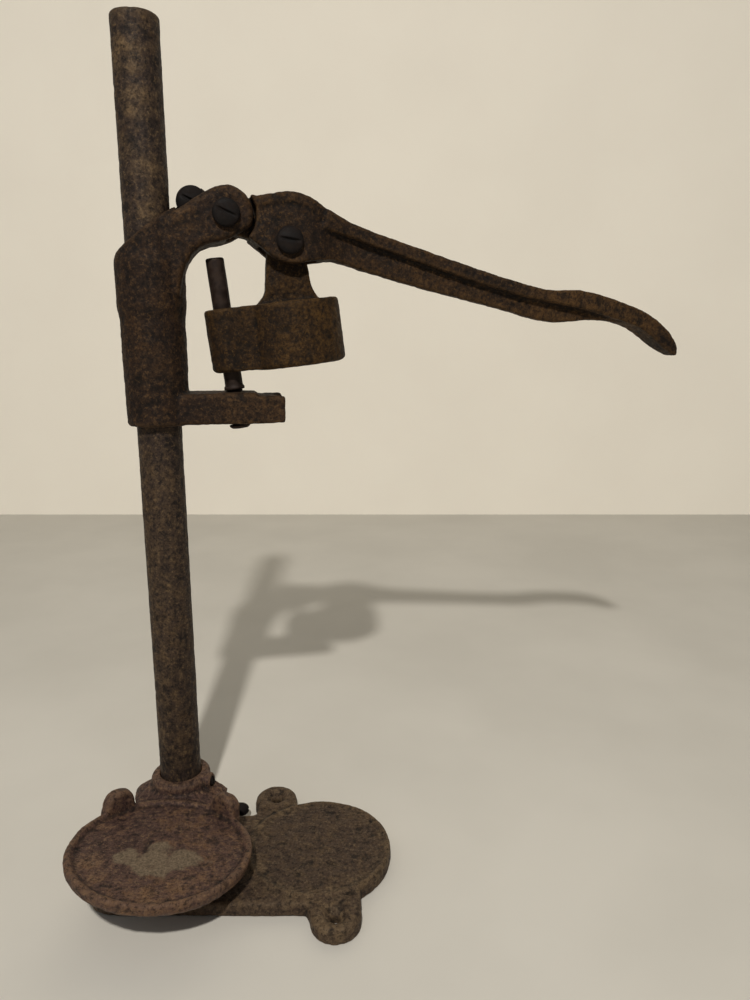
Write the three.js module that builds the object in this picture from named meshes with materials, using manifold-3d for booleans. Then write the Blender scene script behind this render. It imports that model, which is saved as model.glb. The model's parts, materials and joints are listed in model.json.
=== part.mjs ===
// A lever-operated bench press on a pipe column, in millimetres, +Z up.
// The origin is on the column's axis at the underside of the base. +X runs along the base's straight
// front edge towards the round pad, and -Y is the front. The head is turned by HEAD_YAW about the
// column, so its pieces are drawn in the head's own frame: x out along the arms, y across them.
import * as THREE from "three";
import { mergeVertices } from "three/addons/utils/BufferGeometryUtils.js";
import Module from "manifold-3d";

const wasm = await Module();
wasm.setup();

// ---- Driving dimensions ----

const GAP = 0.3; // between touching pieces
const EDGE = 2; // rounding along the edges of castings
const WIDE_STEPS = 48; // facets round the dish and the pad
const ROUND_STEPS = 32; // facets round a large circle
const SMALL_STEPS = 16; // facets round a small one

const COLUMN_R = 12.7; // 1 inch tube, 25.4 mm outside
const COLUMN_WALL = 2.6;
const COLUMN_TOP = 475;
const COLUMN_BOTTOM = 3;
const BORE_R = COLUMN_R + 0.4; // of everything that slides or turns on the column

const BASE_THICK = 9;
const BOSS_R = 19;
const BOSS_TOP = 16;
const PAD = { x: 92, y: -40, r: 43.8, rim: 3, top: 9.9, floor: 9 };
const EARS = [
  { x: 60.5, y: 8.5, r: 13.5, top: 9.5, holeY: 8.5 },
  { x: 105.3, y: -93.3, r: 14, top: 9, holeY: -95.5 },
];
const EAR_HOLE_R = 2.9;
const EAR_SINK_R = 7;
const EAR_SINK = 3.2; // depth of the countersink

// The column's set screw lies along +X beside the plate, its round slotted head at the outer end.
const SET_SCREW = { y: -3, z: 7.8, shank: 3, head: 4.2, seat: 36, end: 44 };

const DISH = { x: 6.5, y: -70.9, z: 32, r: 50.8, depth: 2.2, thick: 9, rim: 4 };
const DISH_TILT_FRONT = 5.2; // degrees, front edge up
const DISH_TILT_LEFT = 5.4; // degrees, left edge up
const COLLAR_R = 18.8;
const COLLAR_TOP = 34.5;
const SKIRT_BACK = 2; // the neck between collar and dish flares only in front of this y
const LUG = { angle: 40, width: 17, height: 10.8, thick: 8, out: -1 }; // out: its middle, beyond the dish's edge
const DISH_SCREW = { angle: -12, z: 29.5, shank: 3, boss: 5.4, bossEnd: 21.8, end: 22.6 };

const HEAD_YAW = 12; // degrees, the arms' direction from +X
const SLEEVE_BOTTOM = 260;
const SLEEVE_TOP = 388;
const SLEEVE_R = 19.3;
const SLEEVE_CUT = { z: 358, slope: 0.76 }; // the slanted top, z above the sleeve's far side
const FORK_HALF = 15; // half width of the upper arm and the lever's cheeks
const FORK_SLOT = 6.6; // half width of the slot in the upper arm's boss
const PIVOT = { x: 43, z: 376.5, r: 15 };
const SHANK_R = 3.9;
const CLAMP = { x: 24.8, z: 383.8, r: 9.6, seat: 1.6, slit: 7 };

const FOOT = { x: 45.5, z: 268.5 }; // where the guide rod rocks in the lower arm
const ARM_TOP = 278.5;
const ARM_BOTTOM = 260.5;
const ARM_HALF = 14;
const NECK = { x: 82.5, r: 15.5, end: 73, top: 276.7 }; // the hollow in the lower arm's end for a bottle's neck

const CRANK = 37; // lever pivot to plunger pivot
const CRANK_ANGLE = -21.4; // degrees below the horizontal
const KNEE = {
  x: PIVOT.x + CRANK * Math.cos(THREE.MathUtils.degToRad(CRANK_ANGLE)),
  z: PIVOT.z + CRANK * Math.sin(THREE.MathUtils.degToRad(CRANK_ANGLE)),
};
const TONGUE = { r: 9.5, half: 6 };
const STEM_SLOT = 6.9;

const LEAN = 6.5; // degrees, of the guide rod and the press head, tops towards the column
const STEM_HALF = 6.5;
const HEAD = { x: -3, r: 28.8, top: -32.5, bottom: -69 };
const GUIDE = { x: -41.4, r: 11.9, hole: 6.9 };
const THROAT = { r: 17, bore: 14.3, mouth: 15.6, height: 12, cavity: 22 };
const ROD_R = 5.25;
const ROD_TOP = 86;
const ROD_COLLAR = { r: 6, low: 11.5, high: 13.8 };
const ROD_FLANGE = -9.3;
const SPIGOT_R = 4.5;
const FOOT_HOLE_R = 5.5;

// ---- Tools ----

const rad = THREE.MathUtils.degToRad;

// A closed geometry as a manifold-3d solid. A solid is returned as it is.
function solid(geometry) {
  if (!geometry.isBufferGeometry) return geometry;
  const bare = geometry.clone();
  bare.deleteAttribute("normal");
  bare.deleteAttribute("uv");
  const merged = mergeVertices(bare, 1e-4);
  return new wasm.Manifold(
    new wasm.Mesh({
      numProp: 3,
      vertProperties: merged.attributes.position.array,
      triVerts: new Uint32Array(merged.index.array),
    }),
  );
}

// Joins the first list of shapes and cuts the second list from them.
function join(parts, cuts = []) {
  let made = solid(parts[0]);
  for (const part of parts.slice(1)) made = made.add(solid(part));
  for (const cut of cuts) made = made.subtract(solid(cut));
  return geometryOf(made);
}

// What two shapes have in common, as a solid.
function common(a, b) {
  return solid(a).intersect(solid(b));
}

function geometryOf(made) {
  const mesh = made.getMesh();
  const geometry = new THREE.BufferGeometry();
  geometry.setAttribute("position", new THREE.BufferAttribute(mesh.vertProperties, 3));
  geometry.setIndex(new THREE.BufferAttribute(mesh.triVerts, 1));
  return geometry;
}

// An outline with rounded corners: each corner is [x, y, radius of its rounding].
function outline(corners) {
  const shape = new THREE.Shape();
  corners.forEach(([x, y, r = 0], i) => {
    const [px, py] = corners[(i + corners.length - 1) % corners.length];
    const [nx, ny] = corners[(i + 1) % corners.length];
    const before = Math.hypot(px - x, py - y);
    const after = Math.hypot(nx - x, ny - y);
    const start = [x + ((px - x) * r) / before, y + ((py - y) * r) / before];
    if (i === 0) shape.moveTo(...start);
    else shape.lineTo(...start);
    if (r > 0) shape.quadraticCurveTo(x, y, x + ((nx - x) * r) / after, y + ((ny - y) * r) / after);
  });
  shape.closePath();
  return shape;
}

function vectors(points) {
  return points.map((p) => new THREE.Vector2(...p));
}

// A smooth line through a few points, as a list of points.
function smooth(points, steps) {
  return new THREE.SplineCurve(vectors(points)).getPoints(steps);
}

function disc(x, y, r, from = 0, to = 2 * Math.PI) {
  const shape = new THREE.Shape();
  shape.absarc(x, y, r, from, to, false);
  return shape;
}

// A shape in the XY plane, raised from z0 to z1 with rounded edges.
function plate(shape, z0, z1, edge = 0, curveSegments = 5) {
  const geometry = new THREE.ExtrudeGeometry(shape, {
    depth: z1 - z0 - 2 * edge,
    bevelEnabled: edge > 0,
    bevelThickness: edge,
    bevelSize: edge,
    bevelOffset: -edge,
    bevelSegments: 2,
    curveSegments,
  });
  return geometry.translate(0, 0, z0 + edge);
}

// A shape in the XZ plane, spread from y0 to y1 with rounded edges.
function slab(shape, y0, y1, edge = 0, curveSegments = 5) {
  return plate(shape, -y1, -y0, edge, curveSegments).rotateX(Math.PI / 2);
}

// A solid of revolution about Z: profile points are [radius, height], counter-clockwise.
function turned(profile, steps = ROUND_STEPS) {
  return new THREE.LatheGeometry(vectors(profile), steps).rotateX(Math.PI / 2);
}

// A round bar about Z from z0 to z1.
function bar(r, z0, z1, steps = SMALL_STEPS) {
  return turned([[0, z0], [r, z0], [r, z1], [0, z1]], steps);
}

// Lays a solid made about Z along the head's y axis, through (x, z).
function across(geometry, x, z) {
  return geometry.rotateX(-Math.PI / 2).translate(x, 0, z);
}

// A slotted screw about Z: its dome rises to -Z from the seat, and its shank runs to +Z.
function slottedScrew(headR, headHeight, shankR, length, slotAngle) {
  const dome = [];
  const steps = 5;
  for (let i = 0; i <= steps; i += 1) {
    const turn = (i / steps) * (Math.PI / 2);
    dome.push([headR * Math.sin(turn), -headHeight * (0.35 + 0.65 * Math.cos(turn))]);
  }
  const shank = [[shankR, 0], [shankR, length - 1], [shankR - 1, length], [0, length]];
  const profile = [...dome, [headR, 0], ...shank];
  const slot = new THREE.BoxGeometry(2.4 * headR, 1.7, 2.6);
  slot.translate(0, 0, -headHeight).rotateZ(rad(slotAngle));
  return join([turned(profile, SMALL_STEPS)], [slot]);
}

function squareNut(side, thick, holeR) {
  const half = side / 2;
  const corner = 1.2;
  const shape = outline([
    [-half, -half, corner],
    [half, -half, corner],
    [half, half, corner],
    [-half, half, corner],
  ]);
  return join([plate(shape, 0, thick, 0.6, 2)], [bar(holeR, -1, thick + 1)]);
}

// ---- Materials ----

const castIron = new THREE.MeshStandardMaterial({ color: 0x3f2c22, roughness: 0.85, metalness: 0.35 });
const oliveIron = new THREE.MeshStandardMaterial({ color: 0x54401f, roughness: 0.85, metalness: 0.3 });
const redIron = new THREE.MeshStandardMaterial({ color: 0x4a2d26, roughness: 0.8, metalness: 0.35 });
const pipeSteel = new THREE.MeshStandardMaterial({ color: 0x33251e, roughness: 0.75, metalness: 0.5 });
const darkSteel = new THREE.MeshStandardMaterial({ color: 0x3a3634, roughness: 0.5, metalness: 0.8 });
const brightSteel = new THREE.MeshStandardMaterial({ color: 0x6f6b66, roughness: 0.4, metalness: 0.9 });
const padRubber = new THREE.MeshStandardMaterial({ color: 0x1d1b1a, roughness: 0.9, metalness: 0 });

// ---- Base, column and dish ----

function ear({ x, y, r, top }) {
  return turned([[0, 0], [r, 0], [r, top - EDGE], [r - EDGE, top], [0, top]]).translate(x, y, 0);
}

function earHole({ x, holeY, top }) {
  const profile = [
    [0, -1],
    [EAR_HOLE_R, -1],
    [EAR_HOLE_R, top - EAR_SINK],
    [EAR_SINK_R, top - 0.5],
    [EAR_SINK_R, top + 1],
    [0, top + 1],
  ];
  return turned(profile, SMALL_STEPS).translate(x, holeY, 0);
}

function base() {
  const foot = outline([
    [-37, -88, 22],
    [100, -88],
    [100, -45],
    [49, -9],
    [26, -11],
    [16, 10],
    [0, 24, 8],
    [-24, 10, 8],
  ]);
  const pad = turned(
    [
      [0, 0],
      [PAD.r, 0],
      [PAD.r, PAD.top - EDGE],
      [PAD.r - 1, PAD.top],
      [PAD.r - PAD.rim + 0.5, PAD.top],
      [PAD.r - PAD.rim - 0.5, PAD.floor],
      [0, PAD.floor],
    ],
    WIDE_STEPS,
  ).translate(PAD.x, PAD.y, 0);
  // The two webs tie the ears to the pad.
  const bridge = outline([[47, 6], [52, -22], [84, -22], [74, 6]]);
  const brace = outline([[88, -86], [118, -72], [119, -94], [91.5, -94]]);
  const boss = turned([[0, 0], [BOSS_R + 4, 0], [BOSS_R + 1, BASE_THICK], [BOSS_R, BOSS_TOP], [0, BOSS_TOP]]);
  const socket = bar(COLUMN_R + GAP, COLUMN_BOTTOM - GAP, BOSS_TOP + 1, ROUND_STEPS);
  const screwHole = bar(SET_SCREW.shank + GAP, 10, 40).rotateY(Math.PI / 2);
  screwHole.translate(0, SET_SCREW.y, SET_SCREW.z);
  const padFloor = bar(PAD.r - PAD.rim - 0.5, PAD.floor, 20, WIDE_STEPS).translate(PAD.x, PAD.y, 0);
  const screwRoom = new THREE.BoxGeometry(26, 12, 20).translate(36.5, SET_SCREW.y, SET_SCREW.z);
  return join(
    [
      plate(foot, 0, BASE_THICK, EDGE),
      pad,
      plate(bridge, 0, BASE_THICK - 0.5),
      plate(brace, 0, BASE_THICK - 0.5),
      boss,
      ...EARS.map(ear),
    ],
    [socket, screwHole, padFloor, screwRoom, ...EARS.map(earHole)],
  );
}

function column() {
  const inner = COLUMN_R - COLUMN_WALL;
  const chamfer = 0.8;
  return turned([
    [inner, COLUMN_BOTTOM],
    [COLUMN_R, COLUMN_BOTTOM],
    [COLUMN_R, COLUMN_TOP - chamfer],
    [COLUMN_R - chamfer, COLUMN_TOP],
    [inner, COLUMN_TOP],
    [inner, COLUMN_BOTTOM],
  ]);
}

function columnSetScrew() {
  const { y, z, shank, head, seat, end } = SET_SCREW;
  const screw = slottedScrew(head, end - seat, shank, seat - COLUMN_R - GAP, 90);
  return screw.rotateY(-Math.PI / 2).translate(seat, y, z);
}

// The dish's own frame: its centre at the origin, rim at z = 0, tilted into place afterwards.
function tiltDish(geometry) {
  return geometry
    .rotateX(rad(-DISH_TILT_FRONT))
    .rotateY(rad(DISH_TILT_LEFT))
    .translate(DISH.x, DISH.y, DISH.z);
}

function dishBowl() {
  const { r, depth, thick, rim } = DISH;
  return tiltDish(
    turned(
      [
        [0, -thick],
        [r - 4, -thick],
        [r - 1, -thick + 3],
        [r, -1.5],
        [r - 1, 0],
        [r - rim + 0.8, 0],
        [r - rim - 1, -depth],
        [0, -depth],
      ],
      WIDE_STEPS,
    ),
  );
}

function dishHollow() {
  const { r, depth, rim } = DISH;
  const profile = [[0, -depth], [r - rim - 1, -depth], [r - rim + 0.8, 0], [r - rim + 4, 8], [0, 8]];
  return tiltDish(turned(profile, WIDE_STEPS));
}

// An upstanding lug on the rear rim; side is -1 or 1.
function dishLug(side) {
  const { angle, width, height, thick, out } = LUG;
  const shape = outline([
    [-width / 2 - 2, -7],
    [width / 2 + 2, -7],
    [width / 2, height, width / 2 - 0.5],
    [-width / 2, height, width / 2 - 0.5],
  ]);
  const towardsColumn = Math.atan2(-DISH.y, -DISH.x);
  const lug = slab(shape, -thick / 2, thick / 2, EDGE, 6).translate(0, DISH.r + out, 0);
  return tiltDish(lug.rotateZ(towardsColumn - Math.PI / 2 + side * rad(angle)));
}

function alongDishScrew(geometry) {
  return geometry.rotateY(Math.PI / 2).rotateZ(rad(DISH_SCREW.angle)).translate(0, 0, DISH_SCREW.z);
}

function restDish() {
  const collar = turned([
    [0, BOSS_TOP + GAP],
    [COLLAR_R - 1, BOSS_TOP + GAP],
    [COLLAR_R - 0.6, 26.5],
    [COLLAR_R, 28.5],
    [COLLAR_R, COLLAR_TOP - 2.5],
    [COLLAR_R - 2, COLLAR_TOP],
    [0, COLLAR_TOP],
  ]);
  const skirt = turned([
    [0, BOSS_TOP + GAP],
    [24, BOSS_TOP + GAP],
    [30, 20],
    [27, 23.5],
    [21, 27],
    [17, 29.5],
    [0, 29.5],
  ]);
  const frontHalf = new THREE.BoxGeometry(90, 60, 90).translate(0, -30 + SKIRT_BACK, 20);
  const screwBoss = alongDishScrew(bar(DISH_SCREW.boss, 15, DISH_SCREW.bossEnd));
  const screwHole = alongDishScrew(bar(DISH_SCREW.shank + GAP, 5, 30));
  const bore = bar(BORE_R, 0, 60, ROUND_STEPS);
  const bossRoom = bar(BOSS_R + 1, 0, BOSS_TOP + GAP, ROUND_STEPS);
  return join(
    [collar, common(skirt, frontHalf), dishBowl(), dishLug(-1), dishLug(1), screwBoss],
    [bore, bossRoom, screwHole, lugFreeHollow()],
  );
}

// The dish's hollow stops short of the lugs, which stand in it a little.
function lugFreeHollow() {
  return solid(dishHollow()).subtract(solid(dishLug(-1))).subtract(solid(dishLug(1)));
}

function dishSetScrew() {
  const { shank, end } = DISH_SCREW;
  const start = COLUMN_R + GAP;
  const profile = [
    [0, start],
    [shank - 1, start],
    [shank, start + 1],
    [shank, end - 0.7],
    [shank - 0.7, end],
    [0, end],
  ];
  const slot = new THREE.BoxGeometry(4 * shank, 1.1, 2.4).translate(0, 0, end);
  return alongDishScrew(join([turned(profile, SMALL_STEPS)], [slot]));
}

// ---- Head, in the head's own frame ----

function upperArmOutline() {
  const shape = new THREE.Shape();
  shape.moveTo(0, 328);
  shape.lineTo(16.5, 332);
  shape.quadraticCurveTo(18.5, 357, 33, 360.6);
  shape.quadraticCurveTo(45, 362.6, 51, 367.2);
  shape.lineTo(PIVOT.x + PIVOT.r * Math.cos(rad(-24)), PIVOT.z + PIVOT.r * Math.sin(rad(-24)));
  shape.absarc(PIVOT.x, PIVOT.z, PIVOT.r, rad(-24), rad(112), false);
  shape.quadraticCurveTo(28, 386, 18, 378.4);
  shape.lineTo(0, 371);
  shape.closePath();
  return shape;
}

function sleeve() {
  return turned([
    [0, SLEEVE_BOTTOM],
    [SLEEVE_R - 2.4, SLEEVE_BOTTOM],
    [SLEEVE_R - 1.4, SLEEVE_BOTTOM + 1.5],
    [SLEEVE_R - 1.2, 320],
    [SLEEVE_R, 327],
    [SLEEVE_R, 351],
    [SLEEVE_R - 2, 357],
    [SLEEVE_R - 3.5, SLEEVE_TOP],
    [0, SLEEVE_TOP],
  ]);
}

// The sleeve's top is cut at a slant that rises towards the arm.
function sleeveTopCut() {
  const reach = 60;
  const heightAt = (x) => SLEEVE_CUT.z + SLEEVE_CUT.slope * (x + 14);
  const shape = outline([[-reach, heightAt(-reach)], [reach, heightAt(reach)], [reach, 500], [-reach, 500]]);
  return slab(shape, -reach, reach);
}

// The lower arm ends in a thinner nose, hollowed for the neck of the bottle under the press head.
function lowerArm() {
  const plan = outline([
    [5, -ARM_HALF],
    [58, -ARM_HALF, 5],
    [58, ARM_HALF, 5],
    [5, ARM_HALF],
  ]);
  const nose = outline([
    [40, -ARM_HALF],
    [NECK.end, -ARM_HALF],
    [NECK.end, ARM_HALF],
    [40, ARM_HALF],
  ]);
  return [plate(plan, ARM_BOTTOM, ARM_TOP, EDGE), plate(nose, ARM_BOTTOM, NECK.top, 1)];
}

function clampLug() {
  const { x, z, r, seat } = CLAMP;
  const profile = [[0, seat], [r, seat], [r, FORK_HALF - 1], [r - 1, FORK_HALF], [0, FORK_HALF]];
  return across(turned(profile), x, z);
}

function headBracket() {
  const { x, z, r, seat, slit } = CLAMP;
  const slot = [
    across(bar(TONGUE.r + 1.1, -FORK_SLOT, FORK_SLOT, ROUND_STEPS), PIVOT.x, PIVOT.z),
    slab(outline([[PIVOT.x, 352], [70, 352], [70, 400], [PIVOT.x, 400]]), -FORK_SLOT, FORK_SLOT),
  ];
  const clampCuts = [
    across(bar(r + GAP, -6.4, seat), x, z),
    slab(outline([[x - r, z], [x + r, z], [x + r, z + 20], [x - r, z + 20]]), -6.4, seat),
    slab(outline([[6, 335], [32, 335], [32, 400], [6, 400]]), slit - 0.8, slit + 0.8),
    across(bar(SHANK_R - 0.6 + GAP, -7, 20), x, z),
  ];
  const footHole = bar(FOOT_HOLE_R, -20, 20).rotateY(rad(-LEAN + 0.75)).translate(FOOT.x, 0, FOOT.z);
  return join(
    [sleeve(), slab(upperArmOutline(), -FORK_HALF, FORK_HALF, 3), ...lowerArm(), clampLug()],
    [
      bar(BORE_R, 200, 420, ROUND_STEPS),
      sleeveTopCut(),
      ...slot,
      ...clampCuts,
      across(bar(SHANK_R + GAP, -30, 30), PIVOT.x, PIVOT.z),
      footHole,
      bar(NECK.r, 200, 300, ROUND_STEPS).translate(NECK.x, 0, 0),
    ],
  );
}

function clampScrew() {
  const screw = slottedScrew(CLAMP.r - 0.9, 6.2, SHANK_R - 0.6, 23, 25);
  return across(screw, CLAMP.x, CLAMP.z).translate(0, CLAMP.seat - GAP, 0);
}

function pivotScrew(slotAngle) {
  return slottedScrew(7.6, 4.6, SHANK_R, 2 * FORK_HALF + 2 * GAP + 8.5, slotAngle);
}

// ---- Lever ----

// The lever's top line from the cheeks to the tip, and the underside of its flange.
const TOP_LINE = [
  [100, 381],
  [113, 374.2],
  [142, 364.9],
  [173, 355.5],
  [205, 346.2],
  [236, 338.6],
  [252, 338.6],
  [267, 337.1],
  [296, 328.6],
  [311, 321.6],
  [323, 312.6],
  [331, 303.8],
];
const FLANGE_LINE = [
  [331.5, 297.6],
  [327, 298.8],
  [320, 302.8],
  [308, 311.2],
  [300, 315.9],
  [287, 320],
  [273, 324.2],
  [259, 327.7],
  [240, 331],
  [205, 338.2],
  [142, 357],
  [112, 366.5],
  [96, 370],
];
const WEB_LINE = [
  [302, 316],
  [293, 318],
  [279, 320.1],
  [264, 320.5],
  [244, 318.8],
  [224, 322.4],
  [205, 327.8],
  [145, 341.6],
  [108, 352.1],
  [92, 354.5],
];
const WEB_END = 9; // how many points of the top line the web follows

function cheekOutline() {
  const shape = new THREE.Shape();
  const shoulder = PIVOT.r + 1.6;
  shape.absarc(PIVOT.x, PIVOT.z, shoulder, rad(39), rad(-47), true);
  shape.splineThru(vectors([[60.2, 360.2], [66, 355.4], [72, 352.3], [80, 350.5], [89, 352.4], [104, 353.6]]));
  shape.lineTo(118, 350.2);
  shape.lineTo(118, 371.6);
  shape.splineThru(vectors([[106, 376.8], [95, 383.8], [86, 387.8], [77, 389], [68, 387.6], [60, 386.2]]));
  shape.closePath();
  return shape;
}

// Mirrors one long side of a plan, drawn from its near end, about y = 0.
function symmetricPlan(draw) {
  const side = new THREE.Path();
  draw(side);
  const near = side.getPoints(10);
  const far = near.map(({ x, y }) => new THREE.Vector2(x, -y)).reverse();
  return new THREE.Shape([...near, ...far]);
}

// The cheeks seen from above: they taper into the web.
function cheekPlan() {
  return symmetricPlan((side) => {
    side.moveTo(20, -FORK_HALF);
    side.lineTo(82, -FORK_HALF);
    side.bezierCurveTo(98, -FORK_HALF, 99, -5.4, 120, -4.4);
  });
}

function strip(upper, lower, steps) {
  return new THREE.Shape([...smooth(lower, steps), ...smooth(upper, steps)]);
}

// The flange seen from above: it narrows from the cheeks, swells at the grip and ends round.
function flangePlan() {
  return symmetricPlan((side) => {
    side.moveTo(84, -FORK_HALF);
    side.bezierCurveTo(100, -FORK_HALF, 104, -9, 126, -9);
    side.lineTo(225, -9);
    side.bezierCurveTo(245, -9, 255, -10.5, 280, -10.5);
    side.bezierCurveTo(312, -10.5, 333, -9.5, 334.5, -1);
  });
}

function lever() {
  const flange = common(
    slab(strip(TOP_LINE, FLANGE_LINE, 22), -13, 13, 1.5),
    plate(flangePlan(), 280, 400),
  );
  const cheeks = common(slab(cheekOutline(), -FORK_HALF, FORK_HALF), plate(cheekPlan(), 300, 420));
  const web = slab(strip(TOP_LINE.slice(0, WEB_END), WEB_LINE, 16), -4.2, 4.2, 1);
  const tongue = slab(disc(PIVOT.x, PIVOT.z, TONGUE.r), -TONGUE.half, TONGUE.half, 0, 12);
  const tongueNeck = slab(
    outline([
      [PIVOT.x, PIVOT.z - TONGUE.r],
      [62, 363],
      [70, 372],
      [70, 385],
      [62, 385],
      [PIVOT.x, PIVOT.z + TONGUE.r],
    ]),
    -TONGUE.half,
    TONGUE.half,
  );
  const eyeRoom = across(bar(13.4, -STEM_SLOT, STEM_SLOT, ROUND_STEPS), KNEE.x, KNEE.z);
  const stemRoom = slab(
    outline([
      [KNEE.x - 13.5, KNEE.z + 3],
      [KNEE.x - 21.5, KNEE.z - 12],
      [KNEE.x - 21.5, KNEE.z - 30],
      [KNEE.x + 19, KNEE.z - 30],
      [KNEE.x + 17, KNEE.z - 8],
      [KNEE.x + 13.3, KNEE.z],
    ]),
    -STEM_SLOT,
    STEM_SLOT,
  );
  return join(
    [cheeks, flange, web, tongue, tongueNeck],
    [
      eyeRoom,
      stemRoom,
      across(bar(SHANK_R + GAP, -30, 30), PIVOT.x, PIVOT.z),
      across(bar(SHANK_R + GAP, -30, 30), KNEE.x, KNEE.z),
    ],
  );
}

// ---- Plunger and guide rod, each about its own pivot ----

function stem() {
  const shape = outline([
    [-24, HEAD.top - 2],
    [14, HEAD.top - 2],
    [13.5, HEAD.top, 1],
    [9.9, -26, 3],
    [9.2, -10, 2],
    [11, 1, 2],
    [7.5, 9, 5],
    [-7.5, 9, 5],
    [-12, 0, 2],
    [-14.2, -11, 2],
    [-17, -27, 3],
    [-23, HEAD.top, 1],
  ]);
  return slab(shape, -STEM_HALF, STEM_HALF, 0.8, 6);
}

function pressHead() {
  const { x, r, top, bottom } = HEAD;
  const body = turned([
    [0, bottom],
    [r - EDGE, bottom],
    [r, bottom + EDGE],
    [r - 0.6, top - 1],
    [r - 1.6, top],
    [0, top],
  ]).translate(x, 0, 0);
  const lobe = turned([
    [0, bottom + 0.5],
    [GUIDE.r - EDGE, bottom + 0.5],
    [GUIDE.r, bottom + EDGE + 0.5],
    [GUIDE.r, top - 1],
    [GUIDE.r - 1, top],
    [0, top],
  ]).translate(GUIDE.x, 0, 0);
  const bridge = outline([
    [GUIDE.x, -GUIDE.r],
    [x, -r + 4],
    [x, r - 4],
    [GUIDE.x, GUIDE.r],
  ]);
  return [body, lobe, plate(bridge, bottom + 0.5, top, 0.8)];
}

function plunger() {
  const { bottom } = HEAD;
  return join(
    [stem(), ...pressHead()],
    [
      bar(THROAT.r + GAP, bottom - 1, bottom + THROAT.cavity, ROUND_STEPS).translate(HEAD.x, 0, 0),
      bar(GUIDE.hole, bottom - 2, HEAD.top + 2).translate(GUIDE.x, 0, 0),
      across(bar(SHANK_R + GAP, -20, 20), 0, 0),
    ],
  );
}

function crimpThroat() {
  const { r, bore, mouth, height } = THROAT;
  const z = HEAD.bottom + 0.4;
  return turned([
    [mouth, z],
    [r, z],
    [r, z + height],
    [bore, z + height],
    [bore, z + 5],
    [mouth, z],
  ]).translate(HEAD.x, 0, 0);
}

function crownPad() {
  const z = HEAD.bottom + THROAT.height + 1;
  const top = HEAD.bottom + THROAT.cavity - GAP;
  const r = THROAT.r - 0.6;
  const profile = [[0, z], [r - 2, z], [r, z + 1.5], [r, top - 0.5], [r - 0.5, top], [0, top]];
  return turned(profile).translate(HEAD.x, 0, 0);
}

function guideRod() {
  return turned(
    [
      [0, ROD_FLANGE - 2.4],
      [4.8, ROD_FLANGE - 2.2],
      [6.3, ROD_FLANGE - 1],
      [6.3, ROD_FLANGE],
      [SPIGOT_R, ROD_FLANGE],
      [SPIGOT_R, ROD_COLLAR.low],
      [ROD_COLLAR.r, ROD_COLLAR.low],
      [ROD_COLLAR.r, ROD_COLLAR.high - 0.8],
      [ROD_R, ROD_COLLAR.high],
      [ROD_R, ROD_TOP - 0.6],
      [ROD_R - 0.6, ROD_TOP],
      [0, ROD_TOP],
    ],
    SMALL_STEPS,
  );
}

// ---- Assembly ----

function named(name, geometry, material) {
  const mesh = new THREE.Mesh(geometry, material);
  mesh.name = name;
  return mesh;
}

// A pivot's screw and nut, drawn about their axis and laid across the head at (x, z).
function pivotPair(prefix, x, z, slotAngle) {
  const seat = FORK_HALF + GAP;
  const screw = named(`${prefix}_screw`, across(pivotScrew(slotAngle), x, z).translate(0, -seat, 0), darkSteel);
  const nut = squareNut(13, 5.8, SHANK_R + GAP).rotateZ(rad(slotAngle));
  return [screw, named(`${prefix}_nut`, across(nut, x, z).translate(0, seat, 0), darkSteel)];
}

function plungerGroup() {
  const group = new THREE.Group();
  group.position.set(KNEE.x, 0, KNEE.z);
  group.rotation.y = rad(-LEAN);
  group.add(
    named("plunger", plunger(), oliveIron),
    named("crimp_throat", crimpThroat(), brightSteel),
    named("crown_pad", crownPad(), padRubber),
  );
  return group;
}

function guideRodGroup() {
  const group = new THREE.Group();
  group.position.set(FOOT.x, 0, FOOT.z);
  group.rotation.y = rad(-LEAN);
  group.add(named("guide_rod", guideRod(), darkSteel));
  return group;
}

function headGroup() {
  const group = new THREE.Group();
  group.rotation.z = rad(HEAD_YAW);
  const clampNut = across(squareNut(13, 5.5, SHANK_R - 0.6 + GAP), CLAMP.x, CLAMP.z);
  clampNut.translate(0, FORK_HALF + GAP, 0);
  group.add(
    named("head_bracket", headBracket(), castIron),
    named("clamp_screw", clampScrew(), darkSteel),
    named("clamp_nut", clampNut, darkSteel),
    named("lever", lever(), castIron),
    ...pivotPair("lever_pivot", PIVOT.x, PIVOT.z, 24),
    ...pivotPair("plunger_pivot", KNEE.x, KNEE.z, 8),
    plungerGroup(),
    guideRodGroup(),
  );
  return group;
}

const press = new THREE.Group();
press.add(
  named("base", base(), castIron),
  named("column", column(), pipeSteel),
  named("column_set_screw", columnSetScrew(), darkSteel),
  named("rest_dish", restDish(), redIron),
  named("dish_set_screw", dishSetScrew(), darkSteel),
  headGroup(),
);

export default press;
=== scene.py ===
"""The finished look of the lever bench press: rusted castings, a pitted tube and worn steel screws.

Every casting is the CAD solid remeshed finely, with its edges softened and its skin roughened
away from its working faces. Turned pieces are lathed again with finer facets. Lengths in the
dimension tables are millimetres; everything built is in metres.
"""

import json
import math

import bmesh
import bpy
import numpy as np
from mathutils import Matrix, Vector, noise
from mathutils.bvhtree import BVHTree

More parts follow.
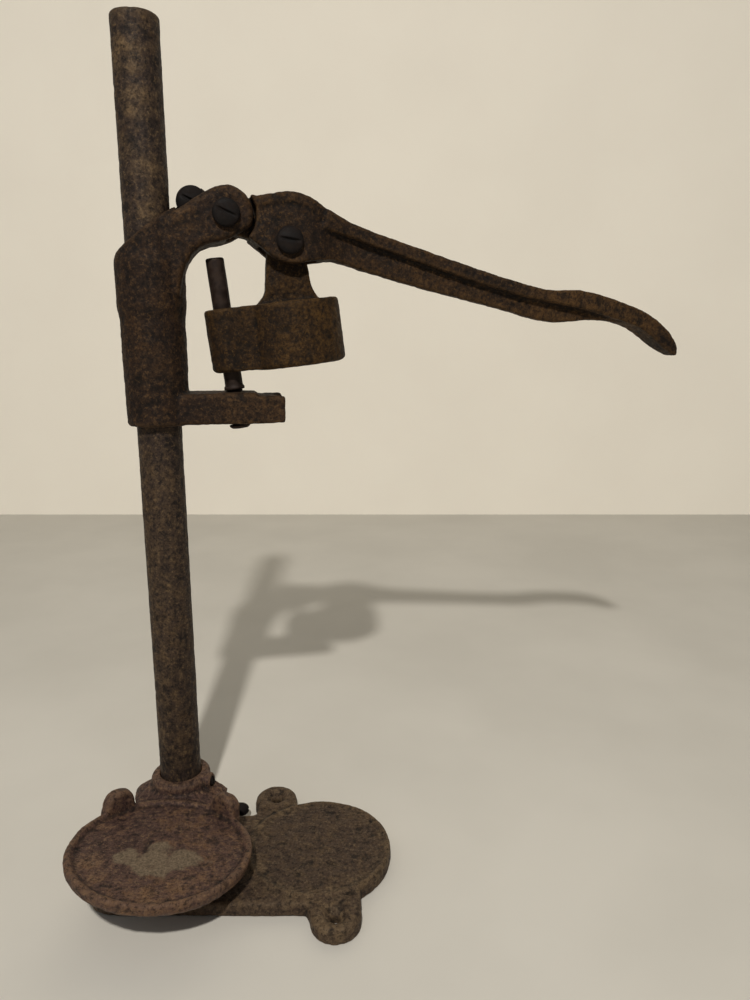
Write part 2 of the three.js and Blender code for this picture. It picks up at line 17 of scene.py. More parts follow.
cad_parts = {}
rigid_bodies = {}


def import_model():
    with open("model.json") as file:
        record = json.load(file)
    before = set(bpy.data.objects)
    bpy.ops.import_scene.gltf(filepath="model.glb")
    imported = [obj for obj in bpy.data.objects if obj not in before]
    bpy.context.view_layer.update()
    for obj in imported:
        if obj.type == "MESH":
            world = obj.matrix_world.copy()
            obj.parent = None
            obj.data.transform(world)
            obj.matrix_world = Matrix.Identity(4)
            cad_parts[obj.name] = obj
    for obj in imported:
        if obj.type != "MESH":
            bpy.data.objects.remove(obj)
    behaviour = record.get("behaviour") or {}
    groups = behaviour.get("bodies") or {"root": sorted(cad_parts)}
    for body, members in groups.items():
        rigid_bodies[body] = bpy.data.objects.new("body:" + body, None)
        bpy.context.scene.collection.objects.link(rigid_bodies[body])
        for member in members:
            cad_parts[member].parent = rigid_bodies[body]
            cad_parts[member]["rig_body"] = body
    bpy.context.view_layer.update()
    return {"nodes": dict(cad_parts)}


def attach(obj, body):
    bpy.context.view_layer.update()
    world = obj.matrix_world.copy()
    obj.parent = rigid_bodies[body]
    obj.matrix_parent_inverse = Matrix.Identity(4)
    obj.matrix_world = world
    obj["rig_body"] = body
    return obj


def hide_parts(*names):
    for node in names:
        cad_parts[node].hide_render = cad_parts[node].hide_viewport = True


MM = 0.001
HEAD_YAW = 12
LEAN = 6.5
PIVOT = (43, 376.5)
KNEE = (77.449, 363.0)
CLAMP = (24.8, 383.8)
FOOT = (45.5, 268.5)
HEAD_SCREW = {"head_r": 7.6, "head_h": 4.6, "shank_r": 3.9, "length": 39.1, "seat": -15.3}
CLAMP_SCREW = {"head_r": 8.7, "head_h": 6.2, "shank_r": 3.3, "length": 23, "seat": 1.3}
COLUMN_SCREW = {"head_r": 4.2, "head_h": 8, "shank_r": 3, "length": 23, "seat": 36, "y": -3, "z": 7.8}
DISH_SCREW = {"angle": -12, "z": 29.5, "start": 13.0, "shank_r": 3.0, "end": 22.6}
COLUMN = {"outer": 12.7, "inner": 10.1, "low": 3.0, "high": 475.0}
ROD = {"r": 5.25, "spigot": 4.5, "flange": -9.3, "collar_r": 6, "collar": (11.5, 13.8), "top": 86}
PAD = {"x": 92, "y": -40, "rim_r": 42, "top": 10}
WALL_Y = 0.85

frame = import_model()


# ---- Meshes ----


def new_object(name, mesh):
    obj = bpy.data.objects.new(name, mesh)
    bpy.context.scene.collection.objects.link(obj)
    return obj


def applied(obj):
    """Bakes an object's modifiers into its mesh."""
    graph = bpy.context.evaluated_depsgraph_get()
    mesh = bpy.data.meshes.new_from_object(obj.evaluated_get(graph))
    obj.modifiers.clear()
    obj.data = mesh
    return obj


def remesh(obj, voxel_mm):
    modifier = obj.modifiers.new("remesh", "REMESH")
    modifier.mode = "VOXEL"
    modifier.voxel_size = voxel_mm * MM
    modifier.use_smooth_shade = True
    return applied(obj)


def points_of(mesh):
    co = np.empty(len(mesh.vertices) * 3, np.float32)
    mesh.vertices.foreach_get("co", co)
    return co.reshape(-1, 3).astype(float)


def normals_of(mesh):
    normals = np.empty(len(mesh.vertices) * 3, np.float32)
    mesh.vertices.foreach_get("normal", normals)
    return normals.reshape(-1, 3).astype(float)


def edges_of(mesh):
    edges = np.empty(len(mesh.edges) * 2, np.int32)
    mesh.edges.foreach_get("vertices", edges)
    return edges.reshape(-1, 2)


def write_points(mesh, co):
    mesh.vertices.foreach_set("co", co.astype(np.float32).ravel())
    mesh.update()


def neighbour_mean(values, edges):
    total = np.zeros_like(values)
    count = np.zeros(len(values))
    for a, b in ((0, 1), (1, 0)):
        np.add.at(total, edges[:, a], values[edges[:, b]])
        np.add.at(count, edges[:, a], 1)
    return total / np.maximum(count, 1).reshape((-1,) + (1,) * (values.ndim - 1))


def relax(mesh, weight, rounds):
    """Softens the edges of a fine mesh where weight is 1, and leaves it alone where weight is 0."""
    edges = edges_of(mesh)
    co = points_of(mesh)
    for _ in range(rounds):
        co += 0.5 * weight[:, None] * (neighbour_mean(co, edges) - co)
    write_points(mesh, co)


def smoothstep(values, low, high):
    t = np.clip((values - low) / (high - low), 0, 1)
    return t * t * (3 - 2 * t)


def neighbours_tree(node):
    """Every other CAD node as one search tree."""
    verts, faces = [], []
    for name, other in frame["nodes"].items():
        if name == node:
            continue
        start = len(verts)
        verts.extend(v.co.copy() for v in other.data.vertices)
        faces.extend([start + i for i in p.vertices] for p in other.data.polygons)
    return BVHTree.FromPolygons(verts, faces)


def free_surface(mesh, node, near=0.0006, far=0.0022):
    """1 where the surface is clear of every other part, 0 on its working faces."""
    tree = neighbours_tree(node)
    distance = np.array([tree.find_nearest(v.co)[3] for v in mesh.vertices])
    return smoothstep(distance, near, far)


def layered(co, scale, octaves=3, seed=0.0):
    offset = Vector((seed, 1.7 * seed, -seed))
    return np.array([noise.fractal(Vector(p) * scale + offset, 0.7, 2.1, octaves) for p in co])


def roughen(mesh, weight, lump, grain, pit, seed):
    """Moves the skin in and out: broad lumps, fine grain and scattered pits, in millimetres."""
    co = points_of(mesh)
    height = lump * layered(co, 45, 3, seed)
    height += grain * layered(co, 260, 2, seed + 5)
    pits = smoothstep(layered(co, 150, 2, seed + 11), 0.22, 0.75)
    height -= pit * pits
    write_points(mesh, co + normals_of(mesh) * (height * weight * MM)[:, None])
    return pits


def put_attribute(mesh, name, values):
    attribute = mesh.attributes.get(name) or mesh.attributes.new(name, "FLOAT", "POINT")
    attribute.data.foreach_set("value", np.clip(values, 0, 1).astype(np.float32))


def hollowness(mesh, spread=6):
    """How far each point lies in a hollow (towards 1) or on an edge (towards 0); flat is 0.5."""
    edges = edges_of(mesh)
    co = points_of(mesh)
    away = neighbour_mean(co, edges)
    for _ in range(spread - 1):
        away = neighbour_mean(away, edges)
    bend = np.einsum("ij,ij->i", away - co, normals_of(mesh))
    return 0.5 + 0.5 * np.tanh(bend / 0.00025)


def blobs(co, places):
    """1 inside soft balls given as (x, y, z, radius, strength) in millimetres."""
    total = np.zeros(len(co))
    for x, y, z, radius, strength in places:
        distance = np.linalg.norm(co - np.array([x, y, z]) * MM, axis=1) / (radius * MM)
        total = np.maximum(total, strength * (1 - smoothstep(distance, 0.35, 1.0)))
    return total


def paint(mesh, pits, tint=(), bare=(), seed=0.0):
    """Writes the masks the materials read: hollow (painted shade and highlight), pits, tint (warm rust) and
    bare (grey metal).
    """
    co = points_of(mesh)
    put_attribute(mesh, "hollow", hollowness(mesh))
    put_attribute(mesh, "pits", pits)
    put_attribute(mesh, "tint", blobs(co, tint))
    ragged = smoothstep(blobs(co, bare) + 0.45 * layered(co, 120, 4, seed), 0.35, 0.75)
    put_attribute(mesh, "bare", ragged if bare else np.zeros(len(co)))


def shade_smooth(mesh):
    mesh.polygons.foreach_set("use_smooth", [True] * len(mesh.polygons))


def dress(obj, node, material):
    """Makes a finished mesh stand for its CAD node."""
    shade_smooth(obj.data)
    obj.data.materials.clear()
    obj.data.materials.append(material)
    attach(obj, frame["nodes"][node]["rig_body"])
    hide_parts(node)
    return obj


def casting(node, material, voxel, soft, lump, grain, pit, seed, shape=None, tint=(), bare=()):
    """A CAD solid as a sand casting."""
    source = frame["nodes"][node]
    obj = new_object(f"{node}_skin", source.data.copy())
    remesh(obj, voxel)
    mesh = obj.data
    weight = free_surface(mesh, node)
    relax(mesh, weight, soft)
    if shape:
        shape(mesh)
    pits = roughen(mesh, weight, lump, grain, pit, seed)
    paint(mesh, pits * weight, tint, bare, seed)
    return dress(obj, node, material)


def subdivided(profile, step):
    """A turned profile with extra points, so that no stretch is longer than step."""
    made = [profile[0]]
    for (r0, z0), (r1, z1) in zip(profile, profile[1:]):
        count = max(1, math.ceil(math.hypot(r1 - r0, z1 - z0) / step))
        made += [(r0 + (r1 - r0) * i / count, z0 + (z1 - z0) * i / count) for i in range(1, count + 1)]
    return made


def lathe(name, profile, steps, matrix, closed=False):
    """A solid of revolution about Z; profile points are (radius, height) in millimetres."""
    bm = bmesh.new()
    rings = []
    for r, z in profile:
        if r < 1e-6:
            rings.append([bm.verts.new((0, 0, z * MM))])
            continue
        turns = [2 * math.pi * i / steps for i in range(steps)]
        rings.append([bm.verts.new((r * MM * math.cos(t), r * MM * math.sin(t), z * MM)) for t in turns])
    pairs = list(zip(rings, rings[1:] + rings[:1])) if closed else list(zip(rings, rings[1:]))
    for low, high in pairs:
        for i in range(steps):
            j = (i + 1) % steps
            corners = [low[i % len(low)], low[j % len(low)], high[j % len(high)], high[i % len(high)]]
            bm.faces.new(list(dict.fromkeys(corners)))
    bmesh.ops.recalc_face_normals(bm, faces=bm.faces)
    mesh = bpy.data.meshes.new(name)
    bm.to_mesh(mesh)
    bm.free()
    mesh.transform(matrix)
    return new_object(name, mesh)


def cut(obj, cutter):
    modifier = obj.modifiers.new("cut", "BOOLEAN")
    modifier.operation = "DIFFERENCE"
    modifier.solver = "EXACT"
    modifier.object = cutter
    applied(obj)
    bpy.data.objects.remove(cutter)
    return obj


def block(size, matrix):
    bm = bmesh.new()
    bmesh.ops.create_cube(bm, size=1, matrix=Matrix.Diagonal((*[s * MM for s in size], 1)))
    mesh = bpy.data.meshes.new("cutter")
    bm.to_mesh(mesh)
    bm.free()
    mesh.transform(matrix)
    return new_object("cutter", mesh)


def move(x, y, z):
    return Matrix.Translation(Vector((x, y, z)) * MM)


def turn(degrees, axis):
    return Matrix.Rotation(math.radians(degrees), 4, axis)


def slotted_screw(name, size, slot_angle, matrix):
    """A domed screw with a slot; its shank points along +Z from the underside of the head at 0."""
    head_r, head_h, shank_r, length = size["head_r"], size["head_h"], size["shank_r"], size["length"]
    steps = 10
    dome = [(head_r * math.sin(t), -head_h * (0.35 + 0.65 * math.cos(t)))
            for t in (math.pi / 2 * i / steps for i in range(steps + 1))]
    shank = [(shank_r, 0), (shank_r, length - 1), (shank_r - 1, length), (0, length)]
    screw = lathe(name, dome + [(head_r, 0)] + shank, 48, matrix)
    slot = block((2.4 * head_r, 1.8, 2.8), matrix @ turn(slot_angle, "Z") @ move(0, 0, -head_h))
    return cut(screw, slot)


def steel_piece(obj, node, material, voxel=0.3, soft=2, grain=0.05, pit=0.06, seed=1.0):
    """A small turned or cut piece with softened edges and a slightly pitted skin."""
    if voxel:
        remesh(obj, voxel)
    mesh = obj.data
    weight = free_surface(mesh, node, 0.0004, 0.0012)
    relax(mesh, weight, soft)
    pits = roughen(mesh, weight, 0.04, grain, pit, seed)
    paint(mesh, pits, seed=seed)
    return dress(obj, node, material)


# ---- Materials ----


class Nodes:
    """A small helper for building one material's node tree."""

    def __init__(self, name):
        self.material = bpy.data.materials.new(name)
        self.material.use_nodes = True
        self.tree = self.material.node_tree
        self.shader = self.tree.nodes["Principled BSDF"]
        self.coord = self.add("ShaderNodeTexCoord").outputs["Object"]

    def add(self, kind, **settings):
        node = self.tree.nodes.new(kind)
        for key, value in settings.items():
            setattr(node, key, value)
        return node

    def link(self, source, target):
        self.tree.links.new(source, target)

    def noise(self, scale, detail=4.0, roughness=0.6, distortion=0.0):
        node = self.add("ShaderNodeTexNoise")
        node.inputs["Scale"].default_value = scale
        node.inputs["Detail"].default_value = detail
        node.inputs["Roughness"].default_value = roughness
        node.inputs["Distortion"].default_value = distortion
        self.link(self.coord, node.inputs["Vector"])
        return node.outputs["Fac"]

    def cells(self, scale):
        node = self.add("ShaderNodeTexVoronoi")
        node.inputs["Scale"].default_value = scale
        self.link(self.coord, node.inputs["Vector"])
        return node.outputs["Distance"]

    def attribute(self, name):
        return self.add("ShaderNodeAttribute", attribute_name=name).outputs["Fac"]

    def range(self, value, low, high, to_low=0.0, to_high=1.0):
        node = self.add("ShaderNodeMapRange", interpolation_type="SMOOTHSTEP")
        for key, number in (("From Min", low), ("From Max", high), ("To Min", to_low), ("To Max", to_high)):
            node.inputs[key].default_value = number
        self.link(value, node.inputs["Value"])
        return node.outputs["Result"]

    def math(self, operation, a, b):
        node = self.add("ShaderNodeMath", operation=operation)
        for socket, value in zip(node.inputs, (a, b)):
            if isinstance(value, (int, float)):
                socket.default_value = value
            else:
                self.link(value, socket)
        return node.outputs["Value"]

    def mix(self, factor, a, b, blend="MIX"):
        node = self.add("ShaderNodeMix", data_type="RGBA", blend_type=blend)
        sockets = {s.identifier: s for s in node.inputs}
        for key, value in (("Factor_Float", factor), ("A_Color", a), ("B_Color", b)):
            if isinstance(value, tuple):
                sockets[key].default_value = (*value, 1)
            elif isinstance(value, (int, float)):
                sockets[key].default_value = value
            else:
                self.link(value, sockets[key])
        return next(s for s in node.outputs if s.identifier == "Result_Color")

    def ramp(self, value, stops):
        node = self.add("ShaderNodeValToRGB")
        elements = node.color_ramp.elements
        while len(elements) < len(stops):
            elements.new(0.5)
        for element, (place, colour) in zip(elements, stops):
            element.position = place
            element.color = (*colour, 1)
        self.link(value, node.inputs["Fac"])
        return node.outputs["Color"]

    def bump(self, height, distance_mm, strength=1.0, normal=None):
        node = self.add("ShaderNodeBump")
        node.inputs["Strength"].default_value = strength
        node.inputs["Distance"].default_value = distance_mm * MM
        self.link(height, node.inputs["Height"])
        if normal:
            self.link(normal, node.inputs["Normal"])
        return node.outputs["Normal"]


def srgb(r, g, b):
    """A linear colour from 0-255 display values."""
    return tuple(((c / 255 + 0.055) / 1.055) ** 2.4 if c > 10 else c / 255 / 12.92 for c in (r, g, b))


def shade(colour, share):
    """A linear colour from display values, each brought down to a share of itself."""
    return srgb(*[c * share for c in colour])


def iron(name, dark, mid, warm, bright, rough=(0.5, 0.8), grain=1.0, bare_colour=(120, 112, 100)):
    """Rusted cast iron: mottled brown with painted shade in hollows and a painted highlight on edges, warmer
    where the tint mask says.
    """
    n = Nodes(name)
    broad = n.noise(26, 3, 0.55, 0.3)
    mottle = n.noise(150, 6, 0.68, 0.2)
    fine = n.noise(850, 4, 0.7)
    specks = n.noise(420, 5, 0.75)
    tone = n.math("ADD", n.math("MULTIPLY", broad, 0.35), n.math("MULTIPLY", mottle, 0.65))
    colour = n.ramp(tone, [(0.36, srgb(*dark)), (0.5, srgb(*mid)), (0.64, srgb(*warm))])
    rust = n.math("MULTIPLY", n.range(specks, 0.54, 0.68), 0.55)
    colour = n.mix(rust, colour, srgb(*bright))
    tint = n.math("MULTIPLY", n.attribute("tint"), n.range(mottle, 0.38, 0.6, 0.25, 1.0))
    colour = n.mix(tint, colour, n.ramp(specks, [(0.35, srgb(*warm)), (0.62, srgb(*bright))]))
    grit = n.math("MULTIPLY", n.range(n.cells(520), 0.5, 0.15), 0.5)
    colour = n.mix(grit, colour, srgb(*dark))
    # Painted shade: hollows and recesses darken towards a deep brown, as if shade fell there.
    painted_hollow_shade = n.range(n.attribute("hollow"), 0.55, 0.95, 0, 0.75)
    colour = n.mix(painted_hollow_shade, colour, shade(dark, 0.35))
    # Painted highlight: convex edges are lightened towards the bright rust colour.
    painted_edge_highlight = n.range(n.attribute("hollow"), 0.42, 0.1, 0, 0.22)
    colour = n.mix(painted_edge_highlight, colour, srgb(*bright))
    colour = n.mix(n.math("MULTIPLY", n.attribute("pits"), 0.6), colour, shade(dark, 0.5))
    speckle = n.noise(430, 4, 0.85)
    colour = n.mix(n.range(speckle, 0.49, 0.38, 0, 0.75), colour, shade(dark, 0.4))
    colour = n.mix(n.range(speckle, 0.55, 0.66, 0, 0.6), colour, srgb(*bright))
    metal = n.ramp(fine, [(0.35, shade(bare_colour, 0.6)), (0.65, srgb(*bare_colour))])
    bare = n.math("MULTIPLY", n.attribute("bare"), n.range(mottle, 0.3, 0.5, 0.55, 1.0))
    colour = n.mix(bare, colour, metal)
    n.link(colour, n.shader.inputs["Base Color"])
    n.link(n.range(specks, 0.3, 0.7, rough[1], rough[0]), n.shader.inputs["Roughness"])
    n.shader.inputs["Metallic"].default_value = 0.05
    n.shader.inputs["Specular IOR Level"].default_value = 0.22
    height = n.bump(mottle, 0.5 * grain, 0.6)
    height = n.bump(fine, 0.45 * grain, 0.9, height)
    n.link(n.bump(n.cells(700), 0.2 * grain, 0.6, height), n.shader.inputs["Normal"])
    return n.material


def steel(name, dark, light, rust, rough=(0.3, 0.6), metallic=0.75, rust_share=0.5):
    """Dark handled steel with a little rust in its pits and edges."""
    n = Nodes(name)
    mottle = n.noise(220, 5, 0.65)
    fine = n.noise(1500, 3, 0.65)
    colour = n.ramp(mottle, [(0.38, srgb(*dark)), (0.62, srgb(*light))])
    blotch = n.math("MULTIPLY", n.range(n.noise(120, 5, 0.7), 0.5, 0.66), rust_share)
    colour = n.mix(blotch, colour, srgb(*rust))
    # Painted shade: hollows and recesses darken steeply, as if shade fell there.
    painted_hollow_shade = n.range(n.attribute("hollow"), 0.55, 0.9, 0, 0.85)
    colour = n.mix(painted_hollow_shade, colour, shade(dark, 0.3))
    colour = n.mix(n.math("MULTIPLY", n.attribute("pits"), 0.6), colour, shade(rust, 0.7))
    n.link(colour, n.shader.inputs["Base Color"])
    n.link(n.range(mottle, 0.3, 0.7, rough[0], rough[1]), n.shader.inputs["Roughness"])
    n.shader.inputs["Metallic"].default_value = metallic
    n.shader.inputs["Specular IOR Level"].default_value = 0.25
    height = n.bump(mottle, 0.12, 0.5)
    n.link(n.bump(fine, 0.08, 0.6, height), n.shader.inputs["Normal"])
    return n.material


def pad_iron(name):
    """The base's own iron: greyer and paler than the head's castings."""
    return iron(name, (48, 37, 29), (74, 59, 48), (88, 70, 51), (122, 102, 76), rough=(0.55, 0.85), grain=0.9)


def rubber(name):
    n = Nodes(name)
    fine = n.noise(900, 4, 0.6)
    n.link(n.ramp(fine, [(0.35, srgb(20, 19, 18)), (0.65, srgb(38, 36, 34))]), n.shader.inputs["Base Color"])
    n.shader.inputs["Roughness"].default_value = 0.85
    n.link(n.bump(fine, 0.1, 0.6), n.shader.inputs["Normal"])
    return n.material


def matte(name, colour, variation, rough=0.75, bump_mm=0.05, glow=0.0):
    n = Nodes(name)
    soft = n.noise(6, 4, 0.5)
    low = tuple(c - variation for c in colour)
    n.link(n.ramp(soft, [(0.35, srgb(*low)), (0.65, srgb(*colour))]), n.shader.inputs["Base Color"])
    n.shader.inputs["Roughness"].default_value = rough
    n.link(n.bump(n.noise(400, 3, 0.6), bump_mm, 0.3), n.shader.inputs["Normal"])
    n.shader.inputs["Emission Color"].default_value = (*srgb(*colour), 1)
    n.shader.inputs["Emission Strength"].default_value = glow
    return n.material


iron_dark = iron("iron_dark", (25, 17, 13), (42, 29, 21), (60, 41, 24), (99, 73, 44), rough=(0.6, 0.85))
iron_lever = iron("iron_lever", (25, 17, 12), (42, 29, 19), (62, 42, 22), (97, 70, 38), rough=(0.6, 0.85))
iron_olive = iron("iron_olive", (28, 18, 10), (45, 30, 15), (62, 42, 18), (96, 69, 32), rough=(0.6, 0.85))
iron_red = iron("iron_red", (56, 41, 38), (88, 66, 58), (108, 80, 58), (142, 112, 82),
                rough=(0.5, 0.8), bare_colour=(136, 118, 96))
iron_base = pad_iron("iron_base")
tube_steel = iron("tube_steel", (34, 26, 23), (54, 43, 38), (68, 52, 38), (116, 94, 66),
                  rough=(0.5, 0.8), grain=0.8)
steel_dark = steel("steel_dark", (13, 9, 8), (25, 18, 15), (36, 24, 17), rough=(0.65, 0.9), metallic=0.05)
steel_rod = steel("steel_rod", (38, 28, 24), (58, 46, 39), (46, 31, 22), rough=(0.5, 0.75), metallic=0.3)
steel_bright = steel("steel_bright", (80, 76, 72), (120, 114, 106), (78, 58, 42), metallic=0.9)
pad_rubber = rubber("pad_rubber")


# ---- Base, column and dish ----


def build_base():
    x, y, rim_r, top = PAD["x"], PAD["y"], PAD["rim_r"], PAD["top"]
    turns = np.linspace(0, 2 * math.pi, 25)
    rim = [(x + rim_r * math.cos(t), y + rim_r * math.sin(t), top, 9, 0.7) for t in turns]
    ears = [(105.3, -98, 9, 16, 0.9), (60.5, 10, 9, 12, 0.4)]
    casting("base", iron_base, voxel=0.9, soft=5, lump=0.35, grain=0.16, pit=0.2, seed=3.1,
            tint=rim + ears)


def build_column():
    outer, inner, low, high = COLUMN["outer"], COLUMN["inner"], COLUMN["low"], COLUMN["high"]
    outside = [(inner, low), (outer, low), (outer, high - 1.2)]
    lip = [(outer - 0.4, high - 0.4), (outer - 1.2, high), (inner + 0.6, high), (inner, high - 0.6)]
    profile = outside + lip
    tube = lathe("column_skin", subdivided(profile, 1.8), 96, Matrix.Identity(4), closed=True)
    mesh = tube.data
    weight = free_surface(mesh, "column", 0.0003, 0.0015)
    pits = roughen(mesh, weight, 0.10, 0.16, 0.20, 8.2)
    golden = [(-4, -12, 452, 14, 0.9), (2, -12, 430, 12, 0.8), (6, -10, 398, 12, 0.7), (-6, -11, 408, 9, 0.5),
              (-2, -12, 350, 9, 0.4), (4, -12, 376, 8, 0.9), (8, -9, 384, 8, 0.8)]
    lower = [(-3, -12, z, 22, 0.35) for z in range(60, 250, 24)]
    paint(mesh, pits * weight, golden + lower, (), 8.2)
    dress(tube, "column", tube_steel)


def build_dish():
    warm = [(-28, -88, 30, 12, 0.8), (-20, -98, 30, 9, 0.6), (10, -112, 30, 12, 0.45), (24, -98, 28, 10, 0.4)]
    grey = [(6, -84, 30, 17, 1.0), (20, -78, 30, 15, 0.9), (-10, -80, 30, 12, 0.8), (6, -72, 30, 12, 0.8),
            (33, -44, 30, 4, 0.9)]
    casting("rest_dish", iron_red, voxel=0.8, soft=5, lump=0.35, grain=0.2, pit=0.25, seed=5.7,
            tint=warm, bare=grey)


def build_base_screws():
    place = move(COLUMN_SCREW["seat"], COLUMN_SCREW["y"], COLUMN_SCREW["z"]) @ turn(-90, "Y")
    set_screw = slotted_screw("column_set_screw_skin", COLUMN_SCREW, 90, place)
    steel_piece(set_screw, "column_set_screw", steel_dark, seed=2.2)
    start, shank, end = DISH_SCREW["start"], DISH_SCREW["shank_r"], DISH_SCREW["end"]
    point = [(0, start), (shank - 1, start), (shank, start + 1)]
    profile = point + [(shank, end - 0.7), (shank - 0.7, end), (0, end)]
    place = move(0, 0, DISH_SCREW["z"]) @ turn(DISH_SCREW["angle"], "Z") @ turn(90, "Y")
    grub = lathe("dish_set_screw_skin", profile, 40, place)
    cut(grub, block((4 * shank, 1.1, 2.4), place @ move(0, 0, end)))
    steel_piece(grub, "dish_set_screw", steel_dark, voxel=0.25, seed=2.9)


# ---- Head ----


def in_head(co):
    """Points in the head's own frame: x along its arms, y across them, z up."""
    return co @ np.array(turn(HEAD_YAW, "Z"))[:3, :3]


def from_head(co):
    return co @ np.array(turn(-HEAD_YAW, "Z"))[:3, :3]


def distance_to_line(points, line):
    """How far 2-D points lie from a line through several corners."""
    best = np.full(len(points), 1e9)
    for a, b in zip(line, line[1:]):
        a, b = np.array(a, float), np.array(b, float)
        along = np.clip((points - a) @ (b - a) / ((b - a) @ (b - a)), 0, 1)
        best = np.minimum(best, np.linalg.norm(points - a - along[:, None] * (b - a), axis=1))
    return best


CHEEK_TOP = [(56, 385), (60, 386.2), (68, 387.6), (77, 389), (86, 387.8), (95, 383.8), (106, 376.8),
             (118, 371.6)]
CHEEK_RIM = {"width": 4.6, "fade": 2.2, "raise": 0.75}


def raise_cheek_rim(mesh):
    """The raised band that follows the top edge of the lever's cheeks."""
    co = in_head(points_of(mesh)) / MM
    facing = in_head(normals_of(mesh))[:, 1]
    reach = distance_to_line(co[:, [0, 2]], CHEEK_TOP)
    band = 1 - smoothstep(reach, CHEEK_RIM["width"], CHEEK_RIM["width"] + CHEEK_RIM["fade"])
    outside = smoothstep(facing * np.sign(co[:, 1]), 0.3, 0.8) * smoothstep(np.abs(co[:, 1]), 3, 6)
    along = smoothstep(co[:, 0], 57, 62) * (1 - smoothstep(co[:, 0], 102, 116))
    co[:, 1] += np.sign(co[:, 1]) * CHEEK_RIM["raise"] * band * outside * along
    write_points(mesh, from_head(co * MM))


def head_place(x, z, y=0.0):
    return turn(HEAD_YAW, "Z") @ move(x, y, z)


def build_bracket():
    warm = [(22, -8, 372, 12, 0.35), (50, -4, 270, 22, 0.5), (62, -2, 268, 16, 0.5), (8, -18, 290, 20, 0.25)]
    casting("head_bracket", iron_dark, voxel=0.8, soft=6, lump=0.35, grain=0.2, pit=0.2,
            seed=1.3, tint=warm)


def build_lever():
    grip = [(x, 0.21 * x, 330, 26, 0.75) for x in range(230, 330, 14)]
    web = [(150 + 18 * i, 32 + 4 * i, 345 - 5 * i, 16, 0.3) for i in range(5)]
    casting("lever", iron_lever, voxel=0.8, soft=6, lump=0.3, grain=0.2, pit=0.2, seed=4.4,
            shape=raise_cheek_rim, tint=grip + web)


def build_plunger():
    warm = [(96, 0, 318, 26, 0.7), (84, -10, 305, 20, 0.5), (60, -2, 318, 14, 0.3), (80, 10, 338, 12, 0.4)]
    casting("plunger", iron_olive, voxel=0.8, soft=4, lump=0.25, grain=0.18, pit=0.2, seed=6.6,
            tint=warm)


def build_head_steel():
    across = turn(-90, "X")
    for prefix, (x, z), angle, seed in (("lever_pivot", PIVOT, 24, 1.1), ("plunger_pivot", KNEE, 8, 1.9)):
        place = head_place(x, z, HEAD_SCREW["seat"]) @ across
        screw = slotted_screw(f"{prefix}_screw_skin", HEAD_SCREW, angle, place)
        steel_piece(screw, f"{prefix}_screw", steel_dark, seed=seed)
        nut = new_object(f"{prefix}_nut_skin", frame["nodes"][f"{prefix}_nut"].data.copy())
        steel_piece(nut, f"{prefix}_nut", steel_dark, voxel=0.35, seed=seed + 3)
    place = head_place(*CLAMP, CLAMP_SCREW["seat"]) @ across
    clamp = slotted_screw("clamp_screw_skin", CLAMP_SCREW, 25, place)
    steel_piece(clamp, "clamp_screw", steel_dark, seed=2.5)
    nut = new_object("clamp_nut_skin", frame["nodes"]["clamp_nut"].data.copy())
    steel_piece(nut, "clamp_nut", steel_dark, voxel=0.35, seed=5.5)


def build_guide_rod():
    r, spigot, flange, top = ROD["r"], ROD["spigot"], ROD["flange"], ROD["top"]
    low, high = ROD["collar"]
    rivet = [(0, flange - 2.4), (4.8, flange - 2.2), (6.3, flange - 1), (6.3, flange)]
    collar = [(spigot, flange), (spigot, low), (ROD["collar_r"], low), (ROD["collar_r"], high - 0.7)]
    profile = rivet + collar + [(r, high), (r, top - 0.6), (r - 0.6, top), (0, top)]
    rod = lathe("guide_rod_skin", subdivided(profile, 1.0), 48, head_place(*FOOT) @ turn(-LEAN, "Y"))
    steel_piece(rod, "guide_rod", steel_rod, voxel=None, soft=1, seed=7.3)


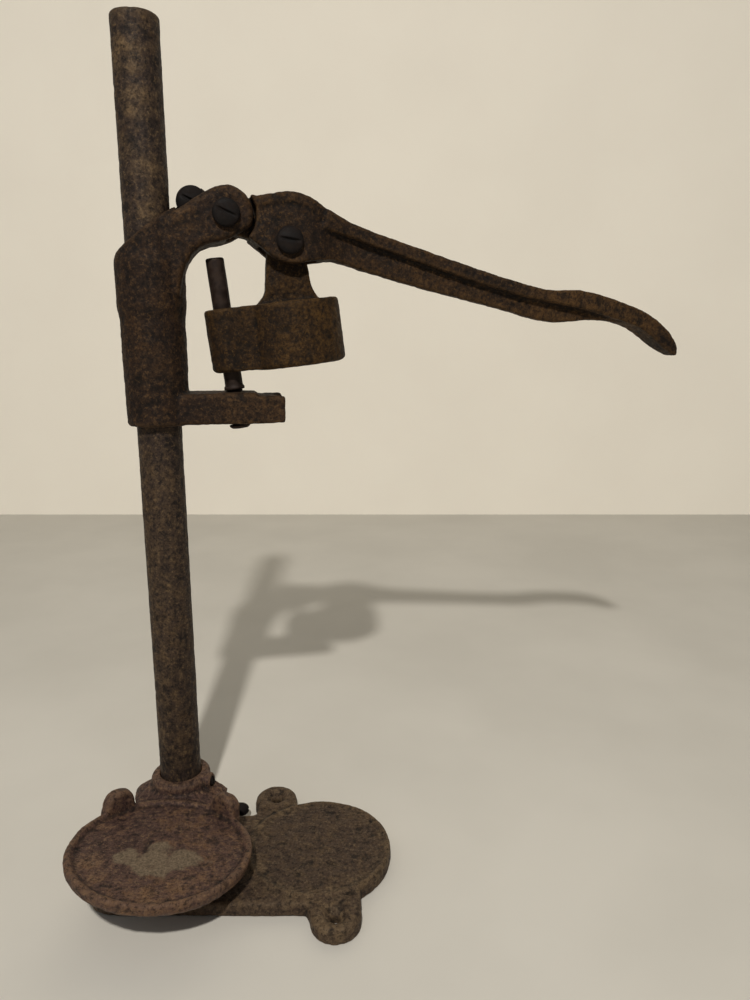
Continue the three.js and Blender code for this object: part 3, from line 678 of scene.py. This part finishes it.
def build_mouth():
    ring = new_object("crimp_throat_skin", frame["nodes"]["crimp_throat"].data.copy())
    steel_piece(ring, "crimp_throat", steel_bright, voxel=0.4, seed=3.7)
    disc = new_object("crown_pad_skin", frame["nodes"]["crown_pad"].data.copy())
    steel_piece(disc, "crown_pad", pad_rubber, voxel=0.5, seed=3.9)


# ---- Stage, light and camera ----


def sheet(name, corners, material):
    mesh = bpy.data.meshes.new(name)
    mesh.from_pydata(corners, [], [(0, 1, 2, 3)])
    obj = new_object(name, mesh)
    mesh.materials.append(material)
    return obj


def lamp(name, place, target, size, watts, colour):
    data = bpy.data.lights.new(name, "AREA")
    data.shape = "DISK"
    data.size = size
    data.energy = watts
    data.color = colour
    obj = new_object(name, data)
    obj.location = place
    obj.rotation_euler = (Vector(target) - Vector(place)).to_track_quat("-Z", "Y").to_euler()
    return obj


def build_stage():
    floor = matte("floor_paint", (226, 222, 212), 8)
    wall = matte("wall_paint", (224, 216, 200), 5, glow=0.38)
    sheet("floor", [(-3, -3, 0), (4, -3, 0), (4, 3, 0), (-3, 3, 0)], floor)
    sheet("wall", [(-3, WALL_Y, 0), (4, WALL_Y, 0), (4, WALL_Y, 3), (-3, WALL_Y, 3)], wall)
    target = Vector((0.1, 0.0, 0.2))
    key = target - 1.7 * Vector((0.04, 0.64, -0.68))
    lamp("key", key, target, 0.07, 16.5, (1.0, 0.96, 0.9))
    lamp("fill", (-1.2, -1.2, 1.3), target, 1.4, 2.2, (0.95, 0.97, 1.0))
    world = bpy.data.worlds.new("room")
    bpy.context.scene.world = world
    world.use_nodes = True
    background = world.node_tree.nodes["Background"]
    background.inputs["Color"].default_value = (0.95, 0.97, 1.0, 1)
    background.inputs["Strength"].default_value = 0.11


def build_camera():
    data = bpy.data.cameras.new("camera")
    data.lens = 27
    data.sensor_width = 36
    data.clip_start = 0.01
    camera = new_object("camera", data)
    camera.location = (0.1264, -0.439, 0.312)
    camera.rotation_euler = (math.radians(90 - 12.5), 0, 0)
    bpy.context.scene.camera = camera
    bpy.context.scene.view_settings.view_transform = "Standard"


build_camera()
build_stage()
build_base()
build_column()
build_dish()
build_base_screws()
build_bracket()
build_lever()
build_plunger()
build_head_steel()
build_guide_rod()
build_mouth()
